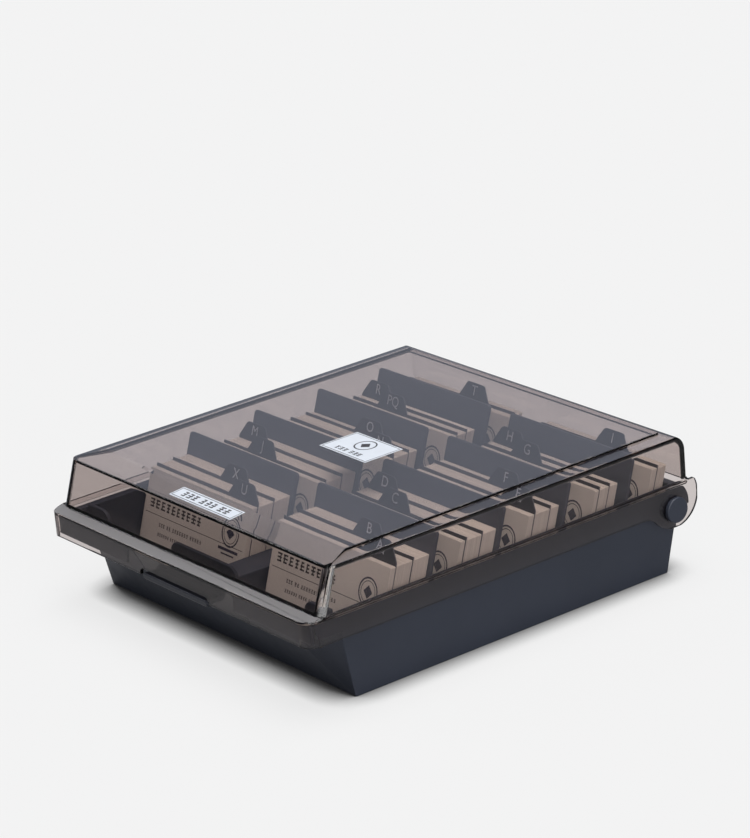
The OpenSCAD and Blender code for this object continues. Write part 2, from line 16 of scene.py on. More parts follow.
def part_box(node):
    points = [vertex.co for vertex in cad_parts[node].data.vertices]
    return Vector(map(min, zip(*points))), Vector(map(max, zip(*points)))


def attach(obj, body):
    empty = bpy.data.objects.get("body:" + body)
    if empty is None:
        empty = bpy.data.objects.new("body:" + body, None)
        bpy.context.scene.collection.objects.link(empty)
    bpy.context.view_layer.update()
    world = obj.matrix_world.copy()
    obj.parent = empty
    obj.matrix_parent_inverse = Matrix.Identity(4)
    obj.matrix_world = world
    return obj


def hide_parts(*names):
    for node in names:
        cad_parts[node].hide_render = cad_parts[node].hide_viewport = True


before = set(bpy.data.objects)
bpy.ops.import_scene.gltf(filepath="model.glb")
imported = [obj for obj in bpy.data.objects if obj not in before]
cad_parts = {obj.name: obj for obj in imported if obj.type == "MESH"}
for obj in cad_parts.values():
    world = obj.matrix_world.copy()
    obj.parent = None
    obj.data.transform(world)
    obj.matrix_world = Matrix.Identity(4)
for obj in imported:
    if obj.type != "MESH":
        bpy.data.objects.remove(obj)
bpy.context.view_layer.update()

bl_info = {
    "name": "Business Card Box",
    "version": (1, 0, 0),
    "blender": (4, 5, 0),
    "location": "3D View > Sidebar > Card Box",
    "description": "Builds the looks of a desk box for business cards on its packed part",
    "category": "Object",
}

MM = 0.001
LETTERS = {
    "r": (("A", "B"), ("C", "D"), ("E", "F"), ("G", "H"), ("I",)),
    "l": (("U", "X"), ("J", "M"), ("N", "O"), ("PQ", "R"), ("T",)),
}

# Rounding: edges flatter than SHARP_ANGLE stay as they are, and a slim face takes less
SHARP_ANGLE = math.radians(28)
SMOOTH_ANGLE = math.radians(40)
LABEL_SMOOTH_ANGLE = math.radians(30)
FLAT_ANGLE = math.radians(0.5)
NODE_MERGE = 0.02 * MM
LID_MERGE = 0.06 * MM
BEVEL_MERGE = 0.005 * MM
FOOT_BAND = 0.01 * MM
ROOM_PER_ROUND = 3
LEAST_SHARE = 0.2
AXIS_STRAIGHT = 0.99

# The lid's front, measured back from its foremost point
FRONT_DEPTH = 25 * MM
LEDGE_DEPTH = 8.2 * MM
LEDGE_BAND = 0.6 * MM
LEDGE_EDGE_BAND = 0.2 * MM

# Index guides: the wave of the top edge and the place of the letter on its tab
WAVE_STEPS = 12
WAVE_FROM = 0.72
TAB_BAND = 3 * MM
TAB_HALF = 9 * MM
LETTER_DROP = 4.3 * MM
FONT_SHARE = 1.4

# Print
RING_SIDES = 40
DIAMOND_SIDES = 4
MARK_SPOT = (31 * MM, 38.5 * MM)
LABEL_MARGIN = 1.6 * MM
LABEL_LINE = 0.45 * MM
LABEL_SPLIT = 40 * MM

# Stage
FLOOR_SIZE = 30.0
FLOOR_DROP = 0.2 * MM
CLOSE_DARK, CLOSE_CLEAR = 0.35, 0.95
SECOND_EDGE_SHARE = 0.6

# Start values of the random draws
GUIDE_SEED, CARD_SEED, PRINT_SEED, LABEL_SEED = 7, 11, 5, 3


def length(name, text, value, **more):
    return FloatProperty(
        name=name, description=text, default=value, min=0.0, precision=5, unit="LENGTH", **more
    )


def colour(name, text, value):
    return FloatVectorProperty(
        name=name, description=text, default=value, size=3, min=0.0, max=1.0, subtype="COLOR"
    )


class CardBoxSizes(bpy.types.PropertyGroup):
    """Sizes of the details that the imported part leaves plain"""

    tray_round: length("Tray edges", "Rounding of the tray's edges", 0.5 * MM)
    lid_round: length("Lid edges", "Rounding of the lid's edges", 1.0 * MM)
    ledge_round: length("Ledge edge", "Rounding of the front ledge's outer edge", 1.4 * MM)
    corner_round: length("Lid corners", "Rounding of the lid's upright front corners", 3.4 * MM)
    lid_wall: length("Lid wall", "Thickness of the lid's wall", 2.2 * MM)
    latch_round: length("Latch edges", "Rounding of the latch's thumb lip", 0.7 * MM)
    divider_round: length("Divider edges", "Rounding of the dividers' edges", 0.45 * MM)
    pin_round: length("Pin edges", "Rounding of the pin heads", 0.9 * MM)
    lean: FloatProperty(
        name="Lean", description="How far the cards lean back", default=math.radians(18),
        subtype="ANGLE",
    )
    card_pitch: length("Card pitch", "Distance from one card to the next", 0.42 * MM)
    card_gap: length("Card gap", "Air between two cards", 0.03 * MM)
    card_corner: length("Card corner", "Cut of a card's corners", 0.3 * MM)
    card_shift: length("Card shift", "How far a card stands out sideways", 0.15 * MM)
    card_step: length("Card step", "How far a card stands above its neighbours", 0.3 * MM)
    guide_wave: length("Guide wave", "How far a guide's top edge bends", 0.45 * MM)
    letter_height: length("Letter height", "Size of the letters on the tabs", 5.4 * MM)
    print_rise: length("Print rise", "How far print stands on its ground", 0.03 * MM)


class CardBoxColours(bpy.types.PropertyGroup):
    """Colours of the pieces"""

    tray: colour("Tray", "Moulded slate plastic", (0.036, 0.043, 0.063))
    # The latch is the tray's own plastic: its darker colour is painted shade of the notch under the
    # lid's skirt
    latch: colour("Latch", "Thumb latch, worn smoother than the tray", (0.020, 0.023, 0.034))
    smoke: colour(
        "Smoke", "Colour that the smoke plastic keeps in its depth", (0.404, 0.272, 0.232)
    )
    smoke_depth: FloatProperty(
        name="Smoke depth", description="How fast the smoke plastic takes light, for each metre",
        default=250.0, min=0.0,
    )
    # The ledge's pale colour is a painted highlight: it stands for the bright band that the front
    # ledge mirrors
    ledge: colour("Ledge", "Pale haze of the frosted front ledge", (0.43, 0.42, 0.43))
    divider: colour("Divider", "Smooth slate sheet", (0.070, 0.080, 0.110))
    guide: colour("Guide", "Dark sheet of the index guides", (0.022, 0.024, 0.036))
    # The guides' cut edges are painted paler: a painted highlight of the light that catches them
    guide_edge_highlight: colour("Guide edge", "Cut edge of the index guides", (0.11, 0.115, 0.145))
    card: colour("Card", "Buff card", (0.85, 0.795, 0.73))
    ink: colour("Ink", "Print on cards and labels", (0.022, 0.020, 0.026))
    seal: colour("Seal", "Print of the round mark", (0.026, 0.026, 0.060))
    letter: colour("Letter", "Print on the tabs", (0.62, 0.64, 0.70))
    label: colour("Label", "White film of the labels", (0.66, 0.70, 0.76))


class CardBoxStage(bpy.types.PropertyGroup):
    """Floor, light and camera"""

    floor: colour("Floor", "Pale floor where it is seen", (0.12, 0.12, 0.12))
    floor_glow: FloatProperty(
        name="Floor glow", description="White of the floor where nothing stands close to it",
        default=0.745, min=0.0,
    )
    shadow_reach: length("Shadow reach", "How far the dark at the box's foot reaches", 18 * MM)
    floor_gloss: FloatProperty(
        name="Floor gloss", description="Share of the floor's white seen after a mirroring",
        default=0.25, min=0.0, max=1.0,
    )
    floor_bounce: colour("Floor bounce", "Floor as light falls back from it", (0.18, 0.18, 0.19))
    sky: colour("Sky", "Dim light from all round", (0.07, 0.073, 0.082))
    top_light: FloatProperty(
        name="Top light", description="Strength of the soft light overhead", default=5.2, min=0.0
    )
    side_light: FloatProperty(
        name="Side light", description="Strength of the soft light from the right", default=1.9,
        min=0.0,
    )
    edge_light: FloatProperty(
        name="Edge light", description="Strength of the slim lights that the lid's edges mirror",
        default=6.0, min=0.0,
    )
    edge_glow: FloatProperty(
        name="Edge glow", description="Share of the lights seen straight through the lid's corners",
        default=0.12, min=0.0, max=1.0,
    )
    back_light: colour("Back light", "Cool light that the lid mirrors", (0.47, 0.51, 0.62))
    azimuth: FloatProperty(
        name="Azimuth", description="Camera turn round the box", default=math.radians(53.85),
        subtype="ANGLE",
    )
    elevation: FloatProperty(
        name="Elevation", description="Camera height angle", default=math.radians(20.19),
        subtype="ANGLE",
    )
    roll: FloatProperty(
        name="Roll", description="Camera turn round its own line of sight",
        default=math.radians(-5.0), subtype="ANGLE",
    )
    aim: FloatVectorProperty(
        name="Aim", description="Point that the camera's frame is measured from", size=3,
        default=(0.0, 2.82 * MM, 49.5 * MM), subtype="XYZ", unit="LENGTH",
    )
    offset: FloatVectorProperty(
        name="Offset", description="Camera place along its own right, up and back", size=3,
        default=(0.66 * MM, 36.59 * MM, 1848.83 * MM), subtype="XYZ", unit="LENGTH",
    )
    lens: FloatProperty(
        name="Lens", description="Focal length", default=155.363, min=1.0, unit="CAMERA"
    )


# Handling of objects and meshes


def deselect():
    if bpy.context.mode != "OBJECT":
        bpy.ops.object.mode_set(mode="OBJECT")
    bpy.ops.object.select_all(action="DESELECT")


def pick(*objs):
    deselect()
    for obj in objs:
        obj.select_set(True)
    bpy.context.view_layer.objects.active = objs[0]
    return objs[0]


def edit(obj, kind="FACE"):
    pick(obj)
    bpy.ops.object.mode_set(mode="EDIT")
    bpy.ops.mesh.select_mode(type=kind)
    bpy.ops.mesh.select_all(action="DESELECT")
    return obj


def done():
    bpy.ops.object.mode_set(mode="OBJECT")


def choose(obj, test, part="faces"):
    mesh = bmesh.from_edit_mesh(obj.data)
    for item in getattr(mesh, part):
        item.select_set(bool(test(item)))
    mesh.select_flush_mode()
    bmesh.update_edit_mesh(obj.data)


def copy_of(node, name, merge=NODE_MERGE):
    """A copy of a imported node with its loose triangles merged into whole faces."""
    pick(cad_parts[node])
    bpy.ops.object.duplicate(linked=False)
    piece = bpy.context.object
    piece.name = piece.data.name = name
    for key in list(piece.keys()):
        del piece[key]
    piece.data.materials.clear()
    edit(piece, "VERT")
    bpy.ops.mesh.select_all(action="SELECT")
    bpy.ops.mesh.remove_doubles(threshold=merge)
    bpy.ops.mesh.dissolve_limited(angle_limit=FLAT_ANGLE)
    done()
    return piece


def copy_piece(piece, name):
    pick(piece)
    bpy.ops.object.duplicate(linked=False)
    made = bpy.context.object
    made.name = made.data.name = name
    return made


def apply_place(obj):
    pick(obj)
    bpy.ops.object.transform_apply(location=True, rotation=True, scale=True)
    return obj


def join(objs, name):
    pick(*objs)
    if len(objs) > 1:
        bpy.ops.object.join()
    made = bpy.context.object
    made.name = made.data.name = name
    return made


def room_beside(edge, face):
    """How far a face reaches from one of its edges, measured straight across it."""
    loop = next(k for k in face.loops if k.edge == edge)
    start = loop.vert.co
    run = loop.link_loop_next.vert.co - start
    along = run.normalized()
    across = face.normal.cross(along)
    nearest = math.inf
    for share in (0.2, 0.5, 0.8):
        spot = start + run * share
        for other in face.edges:
            one, two = (v.co - spot for v in other.verts)
            here, there = one.dot(along), two.dot(along)
            if other != edge and here * there < 0:
                part = here / (here - there)
                reach = one.lerp(two, part).dot(across)
                if reach > 1e-7:
                    nearest = min(nearest, reach)
    return nearest


def weigh(piece, width, own_width):
    """Gives each sharp edge its rounding, less beside a slim face; returns the widest."""
    edit(piece, "EDGE")
    mesh = bmesh.from_edit_mesh(piece.data)
    layer = mesh.edges.layers.float.new("bevel_weight_edge")
    foot = min(v.co.z for v in mesh.verts) + FOOT_BAND
    widths = {}
    for e in mesh.edges:
        stands = all(v.co.z < foot for v in e.verts)
        if stands or len(e.link_faces) != 2 or e.calc_face_angle(0.0) < SHARP_ANGLE:
            continue
        run = (e.verts[1].co - e.verts[0].co).normalized()
        room = min(room_beside(e, f) for f in e.link_faces)
        share = min(1.0, room / (ROOM_PER_ROUND * width))
        straight = max(abs(c) for c in run) > AXIS_STRAIGHT
        own = own_width(e, run) if own_width else None
        if own:
            widths[e] = own
        elif share == 1.0 or (straight and share > LEAST_SHARE):
            widths[e] = share * width
    widest = max(widths.values())
    for e in mesh.edges:
        e[layer] = widths.get(e, 0.0) / widest
    bmesh.update_edit_mesh(piece.data)
    done()
    return widest


def rounded(piece, width, segments=2, own_width=None):
    """Rounds the sharp edges of a piece, as a mould does, and keeps its flat faces flat."""
    widest = weigh(piece, width, own_width)
    pick(piece)
    bevel = piece.modifiers.new("rounding", "BEVEL")
    bevel.width = widest
    bevel.segments = segments
    bevel.limit_method = "WEIGHT"
    bevel.use_clamp_overlap = False
    bevel.miter_outer = "MITER_ARC"
    bpy.ops.object.modifier_apply(modifier=bevel.name)
    edit(piece, "VERT")
    bpy.ops.mesh.select_all(action="SELECT")
    bpy.ops.mesh.remove_doubles(threshold=BEVEL_MERGE)
    done()
    bpy.ops.object.shade_smooth_by_angle(angle=SMOOTH_ANGLE)
    weight = piece.modifiers.new("flat faces", "WEIGHTED_NORMAL")
    weight.keep_sharp = True
    bpy.ops.object.modifier_apply(modifier=weight.name)
    return piece


def settle(piece, body, slot, *nodes):
    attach(piece, body)
    if nodes:
        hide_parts(*nodes)
    return piece


def named(start):
    """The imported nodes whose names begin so, in order."""
    return sorted(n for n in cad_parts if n.startswith(start))


# Finishes


def math_node(tree, operation, one, other):
    node = tree.nodes.new("ShaderNodeMath")
    node.operation = operation
    for socket, value in zip(node.inputs, (one, other)):
        if isinstance(value, bpy.types.NodeSocket):
            tree.links.new(value, socket)
        else:
            socket.default_value = value
    return node.outputs[0]


class Finish:
    """A node material in the making."""

    def __init__(self, name):
        self.material = bpy.data.materials.new(name)
        self.material.use_nodes = True
        self.tree = self.material.node_tree
        self.nodes, self.links = self.tree.nodes, self.tree.links
        self.shader = self.nodes["Principled BSDF"]
        self.output = self.nodes["Material Output"]
        self.place = self.nodes.new("ShaderNodeTexCoord").outputs["Object"]

    def set(self, **values):
        for name, value in values.items():
            self.shader.inputs[name.replace("_", " ")].default_value = value

    def noise(self, scale, detail=2.0, stretch=None):
        place = self.place
        if stretch:
            mapping = self.nodes.new("ShaderNodeMapping")
            mapping.inputs["Scale"].default_value = stretch
            self.links.new(place, mapping.inputs["Vector"])
            place = mapping.outputs["Vector"]
        node = self.nodes.new("ShaderNodeTexNoise")
        node.inputs["Scale"].default_value = scale
        node.inputs["Detail"].default_value = detail
        self.links.new(place, node.inputs["Vector"])
        return node.outputs["Fac"]

    def attribute(self, name):
        node = self.nodes.new("ShaderNodeAttribute")
        node.attribute_name = name
        return node.outputs["Fac"]

    def spread(self, factor, low, high, start=0.3, stop=0.7):
        node = self.nodes.new("ShaderNodeMapRange")
        for name, value in (
            ("From Min", start), ("From Max", stop), ("To Min", low), ("To Max", high)
        ):
            node.inputs[name].default_value = value
        self.links.new(factor, node.inputs["Value"])
        return node.outputs["Result"]

    def between(self, factor, one, other):
        node = self.nodes.new("ShaderNodeMix")
        node.data_type = "RGBA"
        for socket, value in ((node.inputs[6], one), (node.inputs[7], other)):
            if isinstance(value, bpy.types.NodeSocket):
                self.links.new(value, socket)
            else:
                socket.default_value = (*value, 1.0)
        self.links.new(factor, node.inputs[0])
        return node.outputs[2]

    def bump(self, height, strength, distance):
        node = self.nodes.new("ShaderNodeBump")
        node.inputs["Strength"].default_value = strength
        node.inputs["Distance"].default_value = distance
        self.links.new(height, node.inputs["Height"])
        self.links.new(node.outputs["Normal"], self.shader.inputs["Normal"])

    def feed(self, name, socket):
        self.links.new(socket, self.shader.inputs[name])


def shade(value, factor):
    return tuple(min(1.0, v * factor) for v in value)


def moulded_plastic(name, tone, gloss, grain=0.05, pebble=1500.0):
    """Injection moulded plastic: fine grain, faint clouds of colour and uneven gloss."""
    f = Finish(name)
    cloud = f.noise(28.0, 3.0)
    f.feed("Base Color", f.between(f.spread(cloud, 0.0, 1.0), shade(tone, 0.93), shade(tone, 1.07)))
    f.feed("Roughness", f.spread(f.noise(90.0, 4.0), gloss - 0.05, gloss + 0.06))
    f.bump(f.noise(pebble, 2.0), grain, 0.05 * MM)
    f.set(IOR=1.5)
    return f.material


def smoke_plastic(name, smoke, depth, haze=None):
    """See-through plastic that darkens with depth. Haze is the pale colour given to a frosted face:
    a painted highlight for the bright band that the front ledge mirrors.
    """
    f = Finish(name)
    f.set(Base_Color=(1.0, 1.0, 1.0, 1.0), Transmission_Weight=1.0, IOR=1.49)
    if haze:
        f.set(Base_Color=(*haze, 1.0), Transmission_Weight=0.55)
        f.feed("Roughness", f.spread(f.noise(160.0, 4.0), 0.38, 0.55))
        f.bump(f.noise(900.0, 2.0), 0.08, 0.05 * MM)
    else:
        f.feed("Roughness", f.spread(f.noise(45.0, 5.0), 0.008, 0.025))
        f.bump(f.noise(22.0, 1.0), 0.02, 0.3 * MM)
    clear = f.nodes.new("ShaderNodeBsdfTransparent")
    path = f.nodes.new("ShaderNodeLightPath")
    either = math_node(
        f.tree, "MAXIMUM", path.outputs["Is Shadow Ray"], path.outputs["Is Diffuse Ray"]
    )
    mix = f.nodes.new("ShaderNodeMixShader")
    f.links.new(either, mix.inputs[0])
    f.links.new(f.shader.outputs[0], mix.inputs[1])
    f.links.new(clear.outputs[0], mix.inputs[2])
    f.links.new(mix.outputs[0], f.output.inputs["Surface"])
    inside = f.nodes.new("ShaderNodeVolumeAbsorption")
    inside.inputs["Color"].default_value = (*smoke, 1.0)
    inside.inputs["Density"].default_value = depth
    f.links.new(inside.outputs[0], f.output.inputs["Volume"])
    return f.material


def card_stock(name, tone):
    """Uncoated card: every card has its own tone, with fibres and a soft tooth."""
    f = Finish(name)
    card = f.spread(f.attribute("card_tone"), 0.0, 1.0, 0.0, 1.0)
    base = f.between(card, shade(tone, 0.93), shade(tone, 1.09))
    fibre = f.noise(1400.0, 3.0, (1.0, 1.0, 0.35))
    f.feed("Base Color", f.between(f.spread(fibre, 0.0, 0.3), base, shade(tone, 0.82)))
    f.feed("Roughness", f.spread(f.noise(400.0), 0.72, 0.9))
    f.bump(fibre, 0.12, 0.05 * MM)
    f.set(Specular_IOR_Level=0.3)
    return f.material


def sheet_plastic(name, tone, gloss):
    """Rolled plastic sheet: fine lines along its length and a soft gloss."""
    f = Finish(name)
    lines = f.noise(260.0, 3.0, (0.15, 1.0, 1.0))
    f.feed("Base Color", f.between(f.spread(lines, 0.0, 1.0), shade(tone, 0.9), shade(tone, 1.12)))
    f.feed("Roughness", f.spread(f.noise(120.0, 3.0), gloss - 0.06, gloss + 0.08))
    f.bump(lines, 0.04, 0.05 * MM)
    return f.material


def printed(name, tone, ground, wear=0.3):
    """Ink that lets a little of its ground through."""
    f = Finish(name)
    speck = f.noise(2600.0, 2.0)
    f.feed("Base Color", f.between(f.spread(speck, 0.0, wear, 0.5, 0.75), tone, ground))
    f.feed("Roughness", f.spread(f.noise(700.0), 0.45, 0.65))
    return f.material


def label_film(tone):
    """Satin white film with a faint tooth."""
    f = Finish("label_film")
    cloud = f.noise(180.0, 4.0)
    f.feed("Base Color", f.between(f.spread(cloud, 0.0, 1.0), shade(tone, 0.97), shade(tone, 1.03)))
    f.feed("Roughness", f.spread(f.noise(600.0, 3.0), 0.32, 0.48))
    f.bump(f.noise(1800.0), 0.03, 0.03 * MM)
    return f.material


# Pieces


class CARDBOX_OT_tray(bpy.types.Operator):
    """Rounds the tray, its front stop and the latch tongue and gives them the slate plastic; the
    latch's copy is darker, a painted shade of the notch it sits in, and glossier
    """

    bl_idname = "cardbox.tray"
    bl_label = "Tray, stop and latch"

    def execute(self, context):
        sizes, colours = context.scene.card_box_sizes, context.scene.card_box_colours
        satin = moulded_plastic("slate_plastic", colours.tray, 0.42)
        # Darker copy of the slate plastic for the latch: painted shade of the notch it sits in,
        # with a higher gloss
        gloss = moulded_plastic("latch_plastic", colours.latch, 0.2, 0.02)
        for node, name, body, width, plastic in (
            ("base_tray", "tray_shell", "tray", sizes.tray_round, satin),
            ("front_stop", "stop_wall", "tray", sizes.tray_round, satin),
            ("latch_tongue", "latch_spring", "latch", sizes.latch_round, gloss),
        ):
            piece = rounded(copy_of(node, name), width, 3)
            piece.data.materials.append(plastic)
            settle(piece, body, "tray_plastic", node)
        return {"FINISHED"}


class CARDBOX_OT_lid(bpy.types.Operator):
    """Rounds the lid and gives it the see-through smoke plastic, with a pale frosted front ledge
    that is a painted highlight
    """

    bl_idname = "cardbox.lid"
    bl_label = "Lid"

    def execute(self, context):
        sizes, colours = context.scene.card_box_sizes, context.scene.card_box_colours
        piece = copy_of("lid", "lid_shell", LID_MERGE)
        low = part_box("lid")[0]
        ledge = self.ledge_height(piece, low)

        def own_width(e, run):
            """Wider roundings of the front ledge's outer edge and the upright corners."""
            ends = [v.co for v in e.verts]
            if max(v.y for v in ends) > low.y + FRONT_DEPTH:
                return None
            if abs(run.z) > 0.8 and min(v.z for v in ends) > ledge - MM:
                return sizes.corner_round - (0.0 if e.is_convex else sizes.lid_wall)
            outer = any(abs(f.normal.z) < 0.3 and f.normal.y < -0.2 for f in e.link_faces)
            if max(abs(v.z - ledge) for v in ends) < LEDGE_EDGE_BAND and e.is_convex and outer:
                return sizes.ledge_round
            return None

        rounded(piece, sizes.lid_round, 4, own_width)
        smoke, depth = colours.smoke, colours.smoke_depth
        piece.data.materials.append(smoke_plastic("smoke_plastic", smoke, depth))
        # The frosted finish's pale colour on the ledge's top faces is a painted highlight for the
        # bright band that the ledge mirrors
        piece.data.materials.append(smoke_plastic("frosted_ledge", smoke, depth, colours.ledge))
        edit(piece)
        choose(piece, lambda f: (
            f.normal.z > 0.9 and abs(f.calc_center_median().z - ledge) < LEDGE_BAND
            and f.calc_center_median().y < low.y + LEDGE_DEPTH
        ))
        piece.active_material_index = 1
        bpy.ops.object.material_slot_assign()
        done()
        settle(piece, "lid", "lid_plastic", "lid")
        return {"FINISHED"}

    def ledge_height(self, piece, low):
        """Height of the largest flat face at the lid's front."""
        points = piece.data.vertices
        near = [
            f for f in piece.data.polygons
            if f.normal.z > 0.9 and min(points[i].co.y for i in f.vertices) < low.y + MM
        ]
        return max(near, key=lambda f: f.area).center.z


class CARDBOX_OT_pins(bpy.types.Operator):
    """Rounds the heads of the two hinge pins"""

    bl_idname = "cardbox.pins"
    bl_label = "Hinge pins"

    def execute(self, context):
        sizes, colours = context.scene.card_box_sizes, context.scene.card_box_colours
        piece = rounded(copy_of("hinge_pins", "hinge_caps"), sizes.pin_round, 3)
        piece.data.materials.append(moulded_plastic("cap_plastic", colours.tray, 0.36))
        settle(piece, "tray", "tray_plastic", "hinge_pins")
        return {"FINISHED"}


class CARDBOX_OT_dividers(bpy.types.Operator):
    """Rounds the eight upright dividers"""

    bl_idname = "cardbox.dividers"
    bl_label = "Dividers"

    def execute(self, context):
        sizes, colours = context.scene.card_box_sizes, context.scene.card_box_colours
        plastic = sheet_plastic("divider_sheet", colours.divider, 0.45)
        for node in named("divider_"):
            piece = copy_of(node, node.replace("divider", "partition"))
            rounded(piece, sizes.divider_round)
            piece.data.materials.append(plastic)
            settle(piece, "tray", "divider_plastic", node)
        return {"FINISHED"}


class CARDBOX_OT_guides(bpy.types.Operator):
    """Gives the index guides a bent top edge, a paler cut edge that is a painted highlight, and the
    letters on their tabs
    """

    bl_idname = "cardbox.guides"
    bl_label = "Index guides"

    def execute(self, context):
        sizes, colours = context.scene.card_box_sizes, context.scene.card_box_colours
        chance = random.Random(GUIDE_SEED)
        face = sheet_plastic("guide_sheet", colours.guide, 0.4)
        # Paler finish for the cut edges: a painted highlight
        edge = sheet_plastic("guide_cut_edge", colours.guide_edge_highlight, 0.5)
        ink = printed("letter_ink", colours.letter, colours.guide)
        back = Vector((0.0, math.cos(sizes.lean), -math.sin(sizes.lean)))
        up = Vector((0.0, math.sin(sizes.lean), math.cos(sizes.lean)))
        letters = {"l": [], "r": []}
        for node in named("guide_"):
            side, bay, place = node[6], int(node[7]) - 1, "ab".index(node[8])
            low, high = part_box(node)
            piece = copy_of(node, node.replace("guide", "index"))
            self.bend(piece, low, high, back, sizes.guide_wave, chance)
            piece.data.materials.append(face)
            piece.data.materials.append(edge)
            edit(piece)
            # The faces across the sheet are its cut edges, which take the painted highlight finish
            choose(piece, lambda f: abs(f.normal.dot(back)) < 0.5)
            piece.active_material_index = 1
            bpy.ops.object.material_slot_assign()
            done()
            settle(piece, "tray", "guide_plastic", node)
            points = [v.co for v in piece.data.vertices if v.co.z > high.z - TAB_BAND]
            middle = (min(p.x for p in points) + max(p.x for p in points)) / 2
            front = min((p - low).dot(back) for p in points if abs(p.x - middle) < TAB_HALF)
            tall = (Vector((0, high.y, high.z)) - Vector((0, low.y, low.z))).dot(up)
            rise = tall - LETTER_DROP
            foot = Vector((middle, low.y, low.z))
            spot = foot + up * rise + back * (front - sizes.print_rise / 2)
            letters[side].append(self.letter(LETTERS[side][bay][place], spot, sizes))
        for side, name in (("l", "tab_letters_left"), ("r", "tab_letters_right")):
            piece = join(letters[side], name)
            piece.data.materials.clear()
            piece.data.materials.append(ink)
            settle(piece, "tray", "guide_plastic")
        return {"FINISHED"}

    def bend(self, piece, low, high, back, wave, chance):
        edit(piece, "VERT")
        for k in range(1, WAVE_STEPS):
            x = low.x + (high.x - low.x) * k / WAVE_STEPS
            bpy.ops.mesh.select_all(action="SELECT")
            bpy.ops.mesh.bisect(plane_co=(x, 0, 0), plane_no=(1, 0, 0))
        top = low.z + WAVE_FROM * (high.z - low.z)
        turn = chance.uniform(0, 6.28)
        half = 0.5 * (high.x - low.x) / WAVE_STEPS
        for k in range(WAVE_STEPS + 1):
            x = low.x + (high.x - low.x) * k / WAVE_STEPS
            shift = wave * (0.6 * math.sin(turn + 0.9 * k) + 0.4 * chance.uniform(-1, 1))
            choose(piece, lambda v: v.co.z > top and abs(v.co.x - x) <= half, "verts")
            bpy.ops.transform.translate(value=back * shift)
        done()

    def letter(self, text, spot, sizes):
        deselect()
        bpy.ops.object.text_add()
        made = bpy.context.object
        made.data.body = text
        made.data.size = sizes.letter_height * FONT_SHARE
        made.data.align_x, made.data.align_y = "CENTER", "CENTER"
        made.data.extrude = sizes.print_rise / 2
        bpy.ops.object.convert(target="MESH")
        made = bpy.context.object
        made.rotation_euler = (math.pi / 2 - sizes.lean, 0, 0)
        made.location = spot
        return apply_place(made)


class CARDBOX_OT_cards(bpy.types.Operator):
    """Stacks separate cards in the place of each pack"""

    bl_idname = "cardbox.cards"
    bl_label = "Cards"

    def execute(self, context):
        sizes, colours = context.scene.card_box_sizes, context.scene.card_box_colours
        chance = random.Random(CARD_SEED)
        stock = card_stock("buff_card", colours.card)
        for node in named("cards_"):
            low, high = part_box(node)
            piece = self.stack(node.replace("cards", "stack"), low, high, sizes, chance)
            piece.data.materials.append(stock)
            settle(piece, "tray", "card_stock", node)
        return {"FINISHED"}

    def stack(self, name, low, high, sizes, chance):
        lean = sizes.lean
        tall = (high.z - low.z) / math.cos(lean)
        deep = ((high.y - low.y) - (high.z - low.z) * math.tan(lean)) * math.cos(lean)
        count = max(2, round(deep / sizes.card_pitch))
        pitch = deep / count
        thick = pitch - sizes.card_gap
        wide = high.x - low.x - 2 * sizes.card_shift
        middle = (low.x + high.x) / 2
        tall -= sizes.card_step
        deselect()
        bpy.ops.mesh.primitive_cube_add(size=1.0)
        piece = bpy.context.object
        piece.name = piece.data.name = name
        edit(piece)
        bpy.ops.mesh.select_all(action="SELECT")
        bpy.ops.transform.resize(value=(wide, thick, tall))
        centre = Vector((middle, low.y + thick / 2, low.z + tall / 2 + thick * math.tan(lean)))
        bpy.ops.transform.translate(value=centre)
        bpy.ops.mesh.select_mode(type="EDGE")
        choose(piece, lambda e: abs((e.verts[0].co - e.verts[1].co).y) > thick / 2, "edges")
        bpy.ops.mesh.bevel(offset=sizes.card_corner, segments=1, affect="EDGES")
        bpy.ops.mesh.select_mode(type="FACE")
        bpy.ops.mesh.select_all(action="SELECT")
        each = len(bmesh.from_edit_mesh(piece.data).verts)
        last = Vector((0, 0, 0))
        drift = 0.0
        for k in range(count):
            drift = 0.8 * drift + 0.2 * chance.uniform(-1, 1)
            spot = Vector((
                sizes.card_shift * max(-1, min(1, drift + 0.5 * chance.uniform(-1, 1))),
                k * pitch,
                k * pitch * math.tan(lean) + sizes.card_step * chance.random() ** 2,
            ))
            if k:
                bpy.ops.mesh.duplicate()
            bpy.ops.transform.translate(value=spot - last)
            last = spot
        bpy.ops.mesh.select_all(action="SELECT")
        bpy.ops.transform.rotate(
            value=lean, orient_axis="X", center_override=(middle, low.y, low.z)
        )
        done()
        tone = piece.data.attributes.new("card_tone", "FLOAT", "POINT")
        tones = [chance.random() for _ in range(count)]
        tone.data.foreach_set("value", [t for t in tones for _ in range(each)])
        return piece


